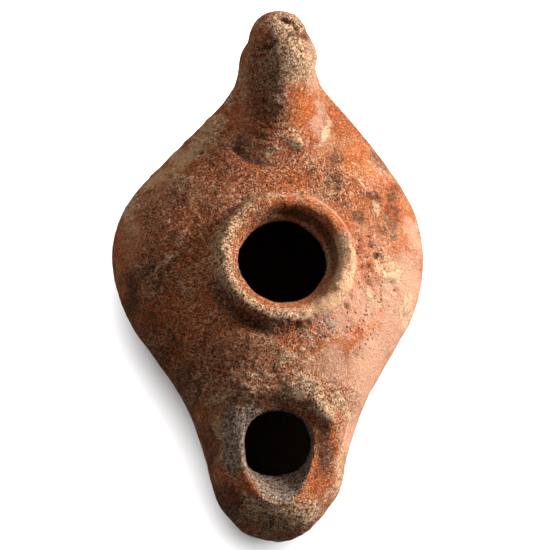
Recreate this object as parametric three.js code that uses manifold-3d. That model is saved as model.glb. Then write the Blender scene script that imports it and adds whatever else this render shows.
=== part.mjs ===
// Roman oil lamp: one hollow piece of fired clay, with a pear-shaped body, a raised ring around the
// filling hole, a dished nozzle with the wick hole, and a solid horn for a handle.
//
// Frame: origin at the middle of the flat foot, +Z up, +Y towards the handle, -Y towards the
// nozzle. Lengths are in millimetres and angles in degrees.
//
// The clay is described by signed distances, negative inside. A sphere is drawn out along a spine
// until it meets each surface, and the holes are then cut through.

import * as THREE from 'three';
import { mergeVertices } from 'three/addons/utils/BufferGeometryUtils.js';
import Module from 'manifold-3d';

// ---- Driving dimensions ----

const WALL = 4.0;

const BOWL = {
  centre: [-1.4, 5.0, 16.5],
  radius: 35.5,
  crown: 16.2,
  belly: 17.2,
  waist: 0.11,
  waistAngle: 48.0,
  waistSpread: 27.0,
};

const NOZZLE = {
  root: [0.3, -20.3, 15.0],
  tip: [0.7, -45.9, 14.6],
  rootRadius: 22.7,
  tipRadius: 14.4,
  rise: 0.82,
  drop: 0.66,
  squareness: 2.5,
  blend: 8.0,
};

// The tip is a little flattened on its left.
const TIP_FLAT = { across: [0.72, -0.69], reach: 46.4, blend: 3.0 };

// The clay drawn up at the back, under the horn.
const BACK = {
  root: [1.6, 17.8, 17.0],
  tip: [-1.4, 43.5, 32.0],
  rootRadius: 25.8,
  tipRadius: 6.7,
  rise: 0.55,
  drop: 0.65,
  squareness: 2.0,
  blend: 12.0,
};

const HORN = {
  root: [0.2, 26.0, 23.0],
  tip: [-2.3, 46.5, 41.5],
  rootRadius: 8.5,
  tipRadius: 6.8,
  frontBlend: 3.5,
  backBlend: 11.0,
  backFrom: 38.0,
  backTo: 48.0,
};

// A swelling just below the horn's tip, and the pad of clay thumbed down in front of it.
const KNUCKLE = { centre: [1.6, 43.4, 40.0], radii: [4.7, 4.4, 4.6], blend: 2.5 };
const HEEL = { centre: [0.2, 26.5, 30.5], radii: [10.5, 6.6, 4.6], blend: 2.0 };
const DISH = { centre: [-1.5, -43.8, 31.0], radii: [13.4, 14.0, 6.2], slope: 0.1, blend: 2.5 };
const FOOT = { radius: 19.0, topRadius: 17.6, height: 3.2, core: 3.8 };

const RING = { centre: [0.3, -2.6], radius: 13.5, halfWidth: 2.3, halfHeight: 2.7, z: 33.2, root: 29.8 };

const FILLING_HOLE = {
  centre: [-0.15, -2.35],
  edgeRadius: 9.5,
  edgeHeight: 31.8,
  flare: 0.47,
  undercut: 1.1,
  undercutDepth: 4.0,
  bottom: 22.0,
  top: 38.0,
};

const WICK_HOLE = {
  centre: [-0.35, -41.5],
  halfWidth: 7.3,
  farLength: 5.9,
  nearLength: 6.1,
  floor: 13.0,
  slopeFrom: 20.0,
  slopeHeight: 5.5,
  slopeLength: 8.0,
  undercut: 0.4,
  undercutFrom: 28.0,
  undercutDepth: 6.0,
  top: 29.0,
};

// The roof inside the nozzle comes down towards the tip and to the right.
const CHANNEL_ROOF = { y: -47.0, z: 19.8, slope: 0.4, tilt: -0.1, blend: 2.0 };
const CAVITY_BLEND = 3.0;

// ---- Distances ----

function softMin(a, b, blend) {
  const overlap = Math.max(blend - Math.abs(a - b), 0) / blend;
  return Math.min(a, b) - overlap * overlap * blend * 0.25;
}

function softMax(a, b, blend) {
  return -softMin(-a, -b, blend);
}

// 0 to 1 with rounded corners, so that a lobe's flank runs into its end without a crease.
function softShare(t, rounding) {
  return softMax(softMin(t, 1, rounding), 0, rounding);
}

function ellipsoid(x, y, z, { centre, radii }) {
  const dx = x - centre[0];
  const dy = y - centre[1];
  const dz = z - centre[2];
  const scaled = Math.hypot(dx / radii[0], dy / radii[1], dz / radii[2]);
  const gradient = Math.hypot(dx / radii[0] ** 2, dy / radii[1] ** 2, dz / radii[2] ** 2);
  return scaled * (scaled - 1) / Math.max(gradient, 1e-6);
}

// A tapered lobe lying along its axis, with a height that is a share of its width.
function lobe(x, y, z, { root, tip, rootRadius, tipRadius, rise, drop, squareness }) {
  const ax = tip[0] - root[0];
  const ay = tip[1] - root[1];
  const along = ((x - root[0]) * ax + (y - root[1]) * ay) / (ax * ax + ay * ay);
  const t = softShare(along, 0.25);
  const sideways = Math.hypot(x - root[0] - t * ax, y - root[1] - t * ay);
  const lift = z - root[2] - t * (tip[2] - root[2]);
  const upright = Math.abs(lift) / (lift > 0 ? rise : drop);
  const reach = (sideways ** squareness + upright ** squareness) ** (1 / squareness);
  return reach - (rootRadius + t * (tipRadius - rootRadius));
}

// The bowl is a flattened ball, drawn in on both sides of the handle.
function bowl(x, y, z, inset) {
  const dx = x - BOWL.centre[0];
  const dy = y - BOWL.centre[1];
  const dz = z - BOWL.centre[2];
  const bearing = THREE.MathUtils.radToDeg(Math.atan2(Math.abs(dx), dy));
  const waist = BOWL.waist * Math.exp(-(((bearing - BOWL.waistAngle) / BOWL.waistSpread) ** 2));
  const radius = BOWL.radius - inset;
  const height = (dz > 0 ? BOWL.crown : BOWL.belly) - inset;
  const across = Math.hypot(dx, dy) / (1 - waist);
  const scaled = Math.hypot(across / radius, dz / height);
  const gradient = Math.hypot(across / radius ** 2, dz / height ** 2);
  return scaled * (scaled - 1) / Math.max(gradient, 1e-6);
}

function horn(x, y, z) {
  const axis = new THREE.Line3(new THREE.Vector3(...HORN.root), new THREE.Vector3(...HORN.tip));
  const point = new THREE.Vector3(x, y, z);
  const t = softShare(axis.closestPointToPointParameter(point, false), 0.2);
  const radius = HORN.rootRadius + t * (HORN.tipRadius - HORN.rootRadius);
  const shaft = axis.at(t, new THREE.Vector3()).distanceTo(point) - radius;
  return softMin(shaft, ellipsoid(x, y, z, KNUCKLE), KNUCKLE.blend);
}

// The clay's outside, before the ring and foot are joined on and the holes are cut.
function outside(x, y, z) {
  const hornBlend = HORN.frontBlend
    + (HORN.backBlend - HORN.frontBlend) * THREE.MathUtils.smoothstep(y, HORN.backFrom, HORN.backTo);
  const dishSlope = DISH.slope * (y - DISH.centre[1]);
  const tipFlat = x * TIP_FLAT.across[0] + y * TIP_FLAT.across[1] - TIP_FLAT.reach;
  const nozzle = softMax(lobe(x, y, z, NOZZLE), tipFlat, TIP_FLAT.blend);
  let clay = softMin(bowl(x, y, z, 0), nozzle, NOZZLE.blend);
  clay = softMin(clay, lobe(x, y, z, BACK), BACK.blend);
  clay = softMin(clay, horn(x, y, z), hornBlend);
  clay = softMin(clay, ellipsoid(x, y, z, HEEL), HEEL.blend);
  return softMax(clay, -ellipsoid(x, y, z - dishSlope, DISH), DISH.blend);
}

// The oil chamber and the channel to the wick hole.
function inside(x, y, z) {
  const roof = z - CHANNEL_ROOF.z - CHANNEL_ROOF.slope * (y - CHANNEL_ROOF.y) - CHANNEL_ROOF.tilt * x;
  const channel = softMax(lobe(x, y, z, NOZZLE) + WALL, roof, CHANNEL_ROOF.blend);
  const hollow = softMin(bowl(x, y, z, WALL), channel, CAVITY_BLEND);
  return softMax(hollow, WALL - z, CAVITY_BLEND);
}

// ---- Skins ----

function firstCrossing(field, start, direction) {
  const step = 0.5;
  const valueAt = (reach) => field(
    start.x + direction.x * reach,
    start.y + direction.y * reach,
    start.z + direction.z * reach,
  );
  let far = step;
  while (valueAt(far) < 0) {
    far += step;
  }
  let near = far - step;
  for (let i = 0; i < 24; i += 1) {
    const middle = (near + far) / 2;
    if (valueAt(middle) < 0) {
      near = middle;
    } else {
      far = middle;
    }
  }
  return start.clone().addScaledVector(direction, far);
}

// A sphere drawn out over a spine that runs towards +Y: its two poles go to the ends, its other
// rings stand square to the spine, and every corner is pushed out to the surface of the field.
function skin(field, spinePoints, endRadii, around, along) {
  const spine = new THREE.CatmullRomCurve3(spinePoints.map((point) => new THREE.Vector3(...point)));
  const length = spine.getLength();
  const [firstCap, lastCap] = endRadii.map((radius) => radius * Math.PI / 2);
  const geometry = new THREE.SphereGeometry(1, around, along);
  const position = geometry.attributes.position;
  const unit = new THREE.Vector3();
  for (let i = 0; i < position.count; i += 1) {
    unit.fromBufferAttribute(position, i);
    const polar = Math.acos(THREE.MathUtils.clamp(-unit.y, -1, 1)) / Math.PI;
    const travel = polar * (firstCap + length + lastCap) - firstCap;
    const station = THREE.MathUtils.clamp(travel / length, 0, 1);
    const turnBack = Math.min(travel / firstCap, 0) * Math.PI / 2;
    const turnOn = Math.max((travel - length) / lastCap, 0) * Math.PI / 2;
    const tangent = spine.getTangentAt(station);
    const sideways = new THREE.Vector3(tangent.y, -tangent.x, 0).normalize();
    const upright = new THREE.Vector3().crossVectors(sideways, tangent);
    const ring = Math.hypot(unit.x, unit.z) || 1;
    const direction = new THREE.Vector3()
      .addScaledVector(sideways, unit.x / ring)
      .addScaledVector(upright, unit.z / ring)
      .multiplyScalar(Math.cos(turnBack + turnOn))
      .addScaledVector(tangent, Math.sin(turnBack + turnOn))
      .normalize();
    position.setXYZ(i, ...firstCrossing(field, spine.getPointAt(station), direction));
  }
  return geometry;
}

// ---- Cutters and the ring ----

function standingLathe(profile, segments) {
  const geometry = new THREE.LatheGeometry(profile, segments);
  geometry.rotateX(Math.PI / 2);
  return geometry;
}

function ringGeometry() {
  const crest = new THREE.EllipseCurve(RING.radius, RING.z, RING.halfWidth, RING.halfHeight, 0, Math.PI);
  const profile = [
    new THREE.Vector2(RING.radius - RING.halfWidth, RING.root),
    new THREE.Vector2(RING.radius + RING.halfWidth, RING.root),
    ...crest.getPoints(8),
    new THREE.Vector2(RING.radius - RING.halfWidth, RING.root),
  ];
  return standingLathe(profile, 52).translate(RING.centre[0], RING.centre[1], 0);
}

// A low disc that carries the lamp; its middle reaches up into the floor of the bowl.
function footGeometry() {
  const profile = [
    new THREE.Vector2(0, 0),
    new THREE.Vector2(FOOT.radius, 0),
    new THREE.Vector2(FOOT.topRadius, FOOT.height),
    new THREE.Vector2(0, FOOT.core),
  ];
  return standingLathe(profile, 52);
}

// The filling hole is narrowest at its lower edge, opens upwards, and is undercut below.
function fillingHoleGeometry() {
  const { centre, edgeRadius, edgeHeight, flare, undercut, undercutDepth, bottom, top } = FILLING_HOLE;
  const wide = edgeRadius + undercut * undercutDepth;
  const profile = [
    new THREE.Vector2(0, bottom),
    new THREE.Vector2(wide, bottom),
    new THREE.Vector2(wide, edgeHeight - undercutDepth),
    new THREE.Vector2(edgeRadius, edgeHeight),
    new THREE.Vector2(edgeRadius + flare * (top - edgeHeight), top),
    new THREE.Vector2(0, top),
  ];
  return standingLathe(profile, 52).translate(centre[0], centre[1], 0);
}

// The wick hole is near round below. Above, its near side leans out into a slope towards the tip,
// and its far side leans in over the channel.
function wickHoleGeometry() {
  const height = WICK_HOLE.top - WICK_HOLE.floor;
  const geometry = new THREE.CylinderGeometry(1, 1, height, 44, 12);
  geometry.rotateX(Math.PI / 2);
  geometry.translate(0, 0, WICK_HOLE.floor + height / 2);
  const position = geometry.attributes.position;
  for (let i = 0; i < position.count; i += 1) {
    const z = position.getZ(i);
    const climb = Math.max((z - WICK_HOLE.slopeFrom) / WICK_HOLE.slopeHeight, 0);
    const depth = THREE.MathUtils.clamp(WICK_HOLE.undercutFrom - z, 0, WICK_HOLE.undercutDepth);
    const nearLength = WICK_HOLE.nearLength + WICK_HOLE.slopeLength * climb;
    const farLength = WICK_HOLE.farLength + WICK_HOLE.undercut * depth;
    const halfLength = position.getY(i) > 0 ? farLength : nearLength;
    position.setX(i, WICK_HOLE.centre[0] + position.getX(i) * WICK_HOLE.halfWidth);
    position.setY(i, WICK_HOLE.centre[1] + position.getY(i) * halfLength);
  }
  return geometry;
}

function belowGroundGeometry() {
  const depth = 20;
  return new THREE.BoxGeometry(200, 200, depth).translate(0, 0, -depth / 2);
}

// ---- Joining and cutting ----

const wasm = await Module();
wasm.setup();

function toSolid(geometry) {
  const bare = geometry.clone();
  bare.deleteAttribute('normal');
  bare.deleteAttribute('uv');
  const merged = mergeVertices(bare, 1e-4);
  return new wasm.Manifold(new wasm.Mesh({
    numProp: 3,
    vertProperties: new Float32Array(merged.attributes.position.array),
    triVerts: new Uint32Array(merged.index.array),
  }));
}

function toGeometry(solid) {
  const mesh = solid.getMesh();
  const geometry = new THREE.BufferGeometry();
  geometry.setAttribute('position', new THREE.BufferAttribute(mesh.vertProperties, 3));
  geometry.setIndex(new THREE.BufferAttribute(mesh.triVerts, 1));
  geometry.computeVertexNormals();
  return geometry;
}

function lampBodyGeometry() {
  const outerSpine = [NOZZLE.tip, NOZZLE.root, BOWL.centre, [-1.3, 27, 20], [-1.6, 37.5, 30.5], HORN.tip];
  const innerSpine = [[0.4, -45, 13], [0.3, -19.8, 14], [-1.5, 5, 16], [-1.5, 24, 16]];
  const outer = skin(outside, outerSpine, [NOZZLE.tipRadius, HORN.tipRadius], 50, 56);
  const hollow = skin(inside, innerSpine, [NOZZLE.tipRadius - WALL, 12], 32, 28);
  const solid = toSolid(outer)
    .add(toSolid(ringGeometry()))
    .subtract(toSolid(belowGroundGeometry()))
    .add(toSolid(footGeometry()))
    .subtract(toSolid(hollow))
    .subtract(toSolid(fillingHoleGeometry()))
    .subtract(toSolid(wickHoleGeometry()));
  return toGeometry(solid);
}

// ---- Scene graph ----

const firedClay = new THREE.MeshStandardMaterial({
  name: 'fired_clay',
  color: 0x9c5a38,
  roughness: 0.85,
  metalness: 0,
});

const lampBody = new THREE.Mesh(lampBodyGeometry(), firedClay);
lampBody.name = 'lamp_body';

const lamp = new THREE.Group();
lamp.add(lampBody);

export default lamp;
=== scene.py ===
"""Looks of a Roman oil lamp: worn red clay with buff crust, dark stains and a sooty nozzle.

The form is described by signed distances in millimetres, negative inside the clay, and follows the
CAD solid's. It is meshed finely, then given its relief and the shares that its colours are mixed by.
"""

import bpy
import numpy as np
from mathutils import Matrix, Vector


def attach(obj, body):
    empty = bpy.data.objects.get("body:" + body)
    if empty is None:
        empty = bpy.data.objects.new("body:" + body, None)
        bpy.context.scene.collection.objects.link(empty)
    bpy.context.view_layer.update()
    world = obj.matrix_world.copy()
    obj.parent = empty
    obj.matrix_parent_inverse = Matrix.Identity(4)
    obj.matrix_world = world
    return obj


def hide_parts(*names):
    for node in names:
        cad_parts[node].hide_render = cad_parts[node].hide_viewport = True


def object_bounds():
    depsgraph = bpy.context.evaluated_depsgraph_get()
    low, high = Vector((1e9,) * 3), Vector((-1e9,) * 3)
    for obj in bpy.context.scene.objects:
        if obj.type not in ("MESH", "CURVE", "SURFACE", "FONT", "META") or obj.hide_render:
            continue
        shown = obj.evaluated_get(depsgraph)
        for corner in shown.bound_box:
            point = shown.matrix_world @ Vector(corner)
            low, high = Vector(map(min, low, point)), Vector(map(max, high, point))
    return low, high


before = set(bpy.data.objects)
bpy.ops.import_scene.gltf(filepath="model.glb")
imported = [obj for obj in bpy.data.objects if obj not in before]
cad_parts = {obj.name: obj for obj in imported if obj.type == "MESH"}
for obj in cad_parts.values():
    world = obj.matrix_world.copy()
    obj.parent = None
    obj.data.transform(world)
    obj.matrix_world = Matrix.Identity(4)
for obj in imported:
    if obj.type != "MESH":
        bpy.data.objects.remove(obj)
cad_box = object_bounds()

MM = 0.001

# ---- Form: the CAD solid's driving dimensions in millimetres, with softer edges ----

WALL = 4.0
BOWL = dict(centre=(-1.4, 5.0, 16.5), radius=35.5, crown=16.2, belly=17.2,
            waist=0.11, waist_angle=48.0, waist_spread=27.0)
# A lobe's rise and drop are its height above and below its axis, as shares of its half width.
NOZZLE = dict(root=(0.3, -20.3, 15.0), tip=(0.7, -45.9, 14.6), root_radius=22.7, tip_radius=14.4,
              rise=0.82, drop=0.66, squareness=2.5, blend=8.0)
TIP_FLAT = dict(across=(0.72, -0.69), reach=46.4, blend=3.0)
BACK = dict(root=(1.6, 17.8, 17.0), tip=(-1.4, 43.5, 32.0), root_radius=25.8, tip_radius=6.7,
            rise=0.55, drop=0.65, squareness=2.0, blend=12.0)
HORN = dict(root=(0.2, 26.0, 23.0), tip=(-2.3, 46.5, 41.5), root_radius=8.5, tip_radius=6.8,
            front_blend=3.5, back_blend=11.0, back_from=38.0, back_to=48.0)
KNUCKLE = dict(centre=(1.6, 43.4, 40.0), radii=(4.7, 4.4, 4.6), blend=2.5)
HEEL = dict(centre=(0.2, 26.5, 30.5), radii=(10.5, 6.6, 4.6), blend=2.0)
DISH = dict(centre=(-1.5, -43.8, 31.0), radii=(13.4, 14.0, 6.2), slope=0.1, blend=2.5)
FOOT = dict(radius=19.0, height=3.0, edge_blend=1.0, blend=1.6)
RING = dict(centre=(0.3, -2.6), radius=13.5, half_width=2.3, half_height=2.7, z=33.2, blend=2.0)
FILLING_HOLE = dict(centre=(-0.15, -2.35), edge_radius=9.5, edge_height=31.8, flare=0.47,
                    undercut=1.1, undercut_depth=4.0, bottom=22.0, lip_blend=1.4)
WICK_HOLE = dict(centre=(-0.35, -41.5), half_width=7.3, far_length=5.9, near_length=6.1, floor=13.0,
                 slope_from=20.0, slope_height=5.5, slope_length=8.0, slope_limit=1.6,
                 undercut=0.4, undercut_from=28.0, undercut_depth=6.0, lip_blend=0.7)
CHANNEL_ROOF = dict(y=-47.0, z=19.8, slope=0.4, tilt=-0.1, blend=2.0)
CAVITY_BLEND = 3.0
HOLLOW_BLEND = 0.8
SOLE_BLEND = 0.5
# How far the turns at a lobe's and the horn's two ends are rounded, as shares of the axis.
LOBE_ROUNDING = 0.25
HORN_ROUNDING = 0.2
# Scales that make the holes' flared and oval fields count about one to the millimetre.
FLARE_SCALE = 0.8
OVAL_SCALE = 6.5

# ---- Distances ----


def soft_min(a, b, blend):
    overlap = np.maximum(blend - np.abs(a - b), 0) / blend
    return np.minimum(a, b) - overlap * overlap * blend * 0.25


def soft_max(a, b, blend):
    return -soft_min(-a, -b, blend)


def length(*parts):
    return np.sqrt(sum(part * part for part in parts))


def smoothstep(value, low, high):
    t = np.clip((value - low) / (high - low), 0, 1)
    return t * t * (3 - 2 * t)


def soft_share(t, rounding):
    """A share kept between 0 and 1, with both turns rounded."""
    return soft_max(soft_min(t, 1, rounding), 0, rounding)


def oval(parts, radii):
    """About the distance to an oval round the origin, true close to its surface."""
    scaled = length(*(part / radius for part, radius in zip(parts, radii)))
    gradient = length(*(part / radius ** 2 for part, radius in zip(parts, radii)))
    return scaled * (scaled - 1) / np.maximum(gradient, 1e-6)


def ellipsoid(x, y, z, shape):
    return oval([value - middle for value, middle in zip((x, y, z), shape["centre"])], shape["radii"])


def lobe(x, y, z, shape):
    """A tapered lobe lying along its axis, with a height that is a share of its width."""
    root, tip = shape["root"], shape["tip"]
    ax, ay = tip[0] - root[0], tip[1] - root[1]
    along = ((x - root[0]) * ax + (y - root[1]) * ay) / (ax * ax + ay * ay)
    t = soft_share(along, LOBE_ROUNDING)
    sideways = length(x - root[0] - t * ax, y - root[1] - t * ay)
    lift = z - root[2] - t * (tip[2] - root[2])
    upright = np.abs(lift) / np.where(lift > 0, shape["rise"], shape["drop"])
    reach = (sideways ** shape["squareness"] + upright ** shape["squareness"]) ** (1 / shape["squareness"])
    return reach - (shape["root_radius"] + t * (shape["tip_radius"] - shape["root_radius"]))


def bowl(x, y, z, inset):
    """A flattened ball drawn in at its waist on both sides of the handle."""
    dx, dy, dz = (value - middle for value, middle in zip((x, y, z), BOWL["centre"]))
    bearing = np.degrees(np.arctan2(np.abs(dx), dy))
    waist = BOWL["waist"] * np.exp(-((bearing - BOWL["waist_angle"]) / BOWL["waist_spread"]) ** 2)
    height = np.where(dz > 0, BOWL["crown"], BOWL["belly"]) - inset
    return oval([length(dx, dy) / (1 - waist), dz], [BOWL["radius"] - inset, height])


def horn(x, y, z):
    """The handle's round bar with the swelling near its tip."""
    root, tip = HORN["root"], HORN["tip"]
    axis = [b - a for a, b in zip(root, tip)]
    offset = [x - root[0], y - root[1], z - root[2]]
    along = sum(o * a for o, a in zip(offset, axis)) / sum(a * a for a in axis)
    t = soft_share(along, HORN_ROUNDING)
    radius = HORN["root_radius"] + t * (HORN["tip_radius"] - HORN["root_radius"])
    shaft = length(*(o - t * a for o, a in zip(offset, axis))) - radius
    return soft_min(shaft, ellipsoid(x, y, z, KNUCKLE), KNUCKLE["blend"])


def outside(x, y, z):
    """The clay's outside with its ring and foot, before the holes are cut."""
    back = smoothstep(y, HORN["back_from"], HORN["back_to"])
    horn_blend = HORN["front_blend"] + (HORN["back_blend"] - HORN["front_blend"]) * back
    dish_slope = DISH["slope"] * (y - DISH["centre"][1])
    ring_out = length(x - RING["centre"][0], y - RING["centre"][1]) - RING["radius"]
    ring_up = (z - RING["z"]) * RING["half_width"] / RING["half_height"]
    foot = soft_max(length(x, y) - FOOT["radius"], z - FOOT["height"], FOOT["edge_blend"])
    tip_flat = x * TIP_FLAT["across"][0] + y * TIP_FLAT["across"][1] - TIP_FLAT["reach"]
    nozzle = soft_max(lobe(x, y, z, NOZZLE), tip_flat, TIP_FLAT["blend"])
    clay = soft_min(bowl(x, y, z, 0), nozzle, NOZZLE["blend"])
    clay = soft_min(clay, lobe(x, y, z, BACK), BACK["blend"])
    clay = soft_min(clay, horn(x, y, z), horn_blend)
    clay = soft_min(clay, ellipsoid(x, y, z, HEEL), HEEL["blend"])
    clay = soft_max(clay, -ellipsoid(x, y, z - dish_slope, DISH), DISH["blend"])
    clay = soft_min(clay, length(ring_out, ring_up) - RING["half_width"], RING["blend"])
    clay = soft_min(clay, foot, FOOT["blend"])
    return soft_max(clay, -z, SOLE_BLEND)


def inside(x, y, z):
    """The oil chamber and the channel to the wick hole."""
    roof = z - CHANNEL_ROOF["z"] - CHANNEL_ROOF["slope"] * (y - CHANNEL_ROOF["y"]) - CHANNEL_ROOF["tilt"] * x
    channel = soft_max(lobe(x, y, z, NOZZLE) + WALL, roof, CHANNEL_ROOF["blend"])
    hollow = soft_min(bowl(x, y, z, WALL), channel, CAVITY_BLEND)
    return soft_max(hollow, WALL - z, CAVITY_BLEND)


def filling_hole(x, y, z):
    """A round hole that widens above its edge and is undercut below it."""
    hole = FILLING_HOLE
    above = z - hole["edge_height"]
    radius = hole["edge_radius"] + hole["flare"] * np.maximum(above, 0)
    radius = radius + hole["undercut"] * np.clip(-above, 0, hole["undercut_depth"])
    out = length(x - hole["centre"][0], y - hole["centre"][1])
    return np.maximum((out - radius) * FLARE_SCALE, hole["bottom"] - z)


def wick_hole(x, y, z):
    """An oval hole whose near side slopes up to the dish and whose far side is undercut."""
    hole = WICK_HOLE
    climb = np.clip((z - hole["slope_from"]) / hole["slope_height"], 0, hole["slope_limit"])
    near_length = hole["near_length"] + hole["slope_length"] * climb
    undercut = hole["undercut"] * np.clip(hole["undercut_from"] - z, 0, hole["undercut_depth"])
    dx, dy = x - hole["centre"][0], y - hole["centre"][1]
    half_length = np.where(dy > 0, hole["far_length"] + undercut, near_length)
    out = length(dx / hole["half_width"], dy / half_length) - 1
    return np.maximum(out * OVAL_SCALE, hole["floor"] - z)


def clay(x, y, z):
    """The whole lamp: the outside, less the hollow and both holes."""
    solid = soft_max(outside(x, y, z), -inside(x, y, z), HOLLOW_BLEND)
    solid = soft_max(solid, -filling_hole(x, y, z), FILLING_HOLE["lip_blend"])
    return soft_max(solid, -wick_hole(x, y, z), WICK_HOLE["lip_blend"])


# ---- Meshing ----

# The grid's cell, and the cells left round the lamp: with these the mesh has no pinched edges.
CELL = 0.6
CELLS_BELOW = 2.5
CELLS_ABOVE = 2
SLABS = 12
# Settling: the step that slopes are measured by, the gentlest slope trusted and the longest move.
SLOPE_STEP = 0.08
GENTLEST_SLOPE = 0.2
LONGEST_MOVE = 0.3
SETTLING_ROUNDS = 2


def grid_values(field, axes):
    """The field on a grid, worked out in slabs to keep memory low."""
    slabs = []
    for z_part in np.array_split(axes[2], SLABS):
        x, y, z = np.meshgrid(axes[0], axes[1], z_part, indexing="ij")
        slabs.append(field(x, y, z).astype(np.float32))
    return np.concatenate(slabs, axis=2)


def surface_net(field, low, high, cell):
    """A closed quad mesh of the field's zero surface: one corner in each cell that it crosses."""
    axes = [np.arange(a, b + cell, cell, dtype=np.float32) for a, b in zip(low, high)]
    values = grid_values(field, axes)
    inside_clay = values < 0
    cells = tuple(n - 1 for n in values.shape)
    total = np.zeros(cells + (3,), np.float32)
    count = np.zeros(cells, np.float32)
    for axis in range(3):
        first = [slice(None)] * 3
        second = [slice(None)] * 3
        first[axis], second[axis] = slice(0, -1), slice(1, None)
        a, b = values[tuple(first)], values[tuple(second)]
        crossed = inside_clay[tuple(first)] != inside_clay[tuple(second)]
        share = np.where(crossed, a / np.where(crossed, a - b, 1), 0)
        u, v = [other for other in range(3) if other != axis]
        for shift_u, shift_v in np.ndindex(2, 2):
            pick = [slice(None)] * 3
            pick[u] = slice(shift_u, shift_u + cells[u])
            pick[v] = slice(shift_v, shift_v + cells[v])
            hit = crossed[tuple(pick)]
            count += hit
            total[..., axis] += share[tuple(pick)] * hit
            total[..., u] += shift_u * hit
            total[..., v] += shift_v * hit
    used = count > 0
    corner_number = np.full(cells, -1, np.int64)
    corner_number[used] = np.arange(used.sum())
    base = np.stack(np.nonzero(used), axis=1).astype(np.float32)
    corners = base + total[used] / count[used][:, None]
    corners = corners * cell + np.array([axis[0] for axis in axes], np.float32)
    return corners, net_faces(inside_clay, corner_number)


def net_faces(inside_clay, corner_number):
    """One quad round each grid edge that the surface crosses, facing out of the clay."""
    faces = []
    for axis in range(3):
        u, v = [(axis + 1) % 3, (axis + 2) % 3]
        first = [slice(1, -1)] * 3
        second = [slice(1, -1)] * 3
        first[axis], second[axis] = slice(0, -1), slice(1, None)
        a, b = inside_clay[tuple(first)], inside_clay[tuple(second)]
        where = np.stack(np.nonzero(a != b), axis=1)
        leaving = a[tuple(where.T)]
        where[:, u] += 1
        where[:, v] += 1
        ring = []
        for step_u, step_v in ((0, 0), (-1, 0), (-1, -1), (0, -1)):
            cell = where.copy()
            cell[:, u] += step_u
            cell[:, v] += step_v
            ring.append(corner_number[tuple(cell.T)])
        quad = np.stack(ring, axis=1)
        quad[~leaving] = quad[~leaving][:, ::-1]
        faces.append(quad)
    return np.concatenate(faces)


def slope(field, points):
    """The way out of the clay at each point, and how steeply the field climbs there."""
    shifts = np.eye(3, dtype=np.float32) * SLOPE_STEP
    parts = [field(*(points + shift).T) - field(*(points - shift).T) for shift in shifts]
    gradient = np.stack(parts, axis=1)
    steepness = np.linalg.norm(gradient, axis=1, keepdims=True) / (2 * SLOPE_STEP)
    way_out = gradient / np.maximum(steepness * 2 * SLOPE_STEP, 1e-9)
    return way_out, np.maximum(steepness[:, 0], GENTLEST_SLOPE)


def settle(field, points):
    """Moves points onto the field's zero surface."""
    for _ in range(SETTLING_ROUNDS):
        normal, steepness = slope(field, points)
        step = np.clip(field(*points.T) / steepness, -LONGEST_MOVE, LONGEST_MOVE)
        points = points - normal * step[:, None]
    return points


# ---- Noise ----

NOISE_ORIGIN = np.array([-45.0, -70.0, -10.0])


def noise(points, size, seed):
    """Smooth noise from -1 to 1 with lumps of about `size` millimetres."""
    spots = (points - NOISE_ORIGIN) / size
    base = np.floor(spots).astype(int)
    share = spots - base
    share = share * share * (3 - 2 * share)
    table = np.random.default_rng(seed).uniform(-1, 1, base.max(axis=0) + 2)
    total = np.zeros(len(points))
    for corner in np.ndindex(2, 2, 2):
        weight = np.prod(np.where(corner, share, 1 - share), axis=1)
        total += weight * table[tuple((base + corner).T)]
    return total


def level_streaks(points, squeeze, size, seed):
    """Noise drawn out sideways, so that its lumps become level streaks."""
    return noise(points * np.array([squeeze, squeeze, 1.0]), size, seed)


# ---- Places on the lamp, in millimetres seen from above ----

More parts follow.
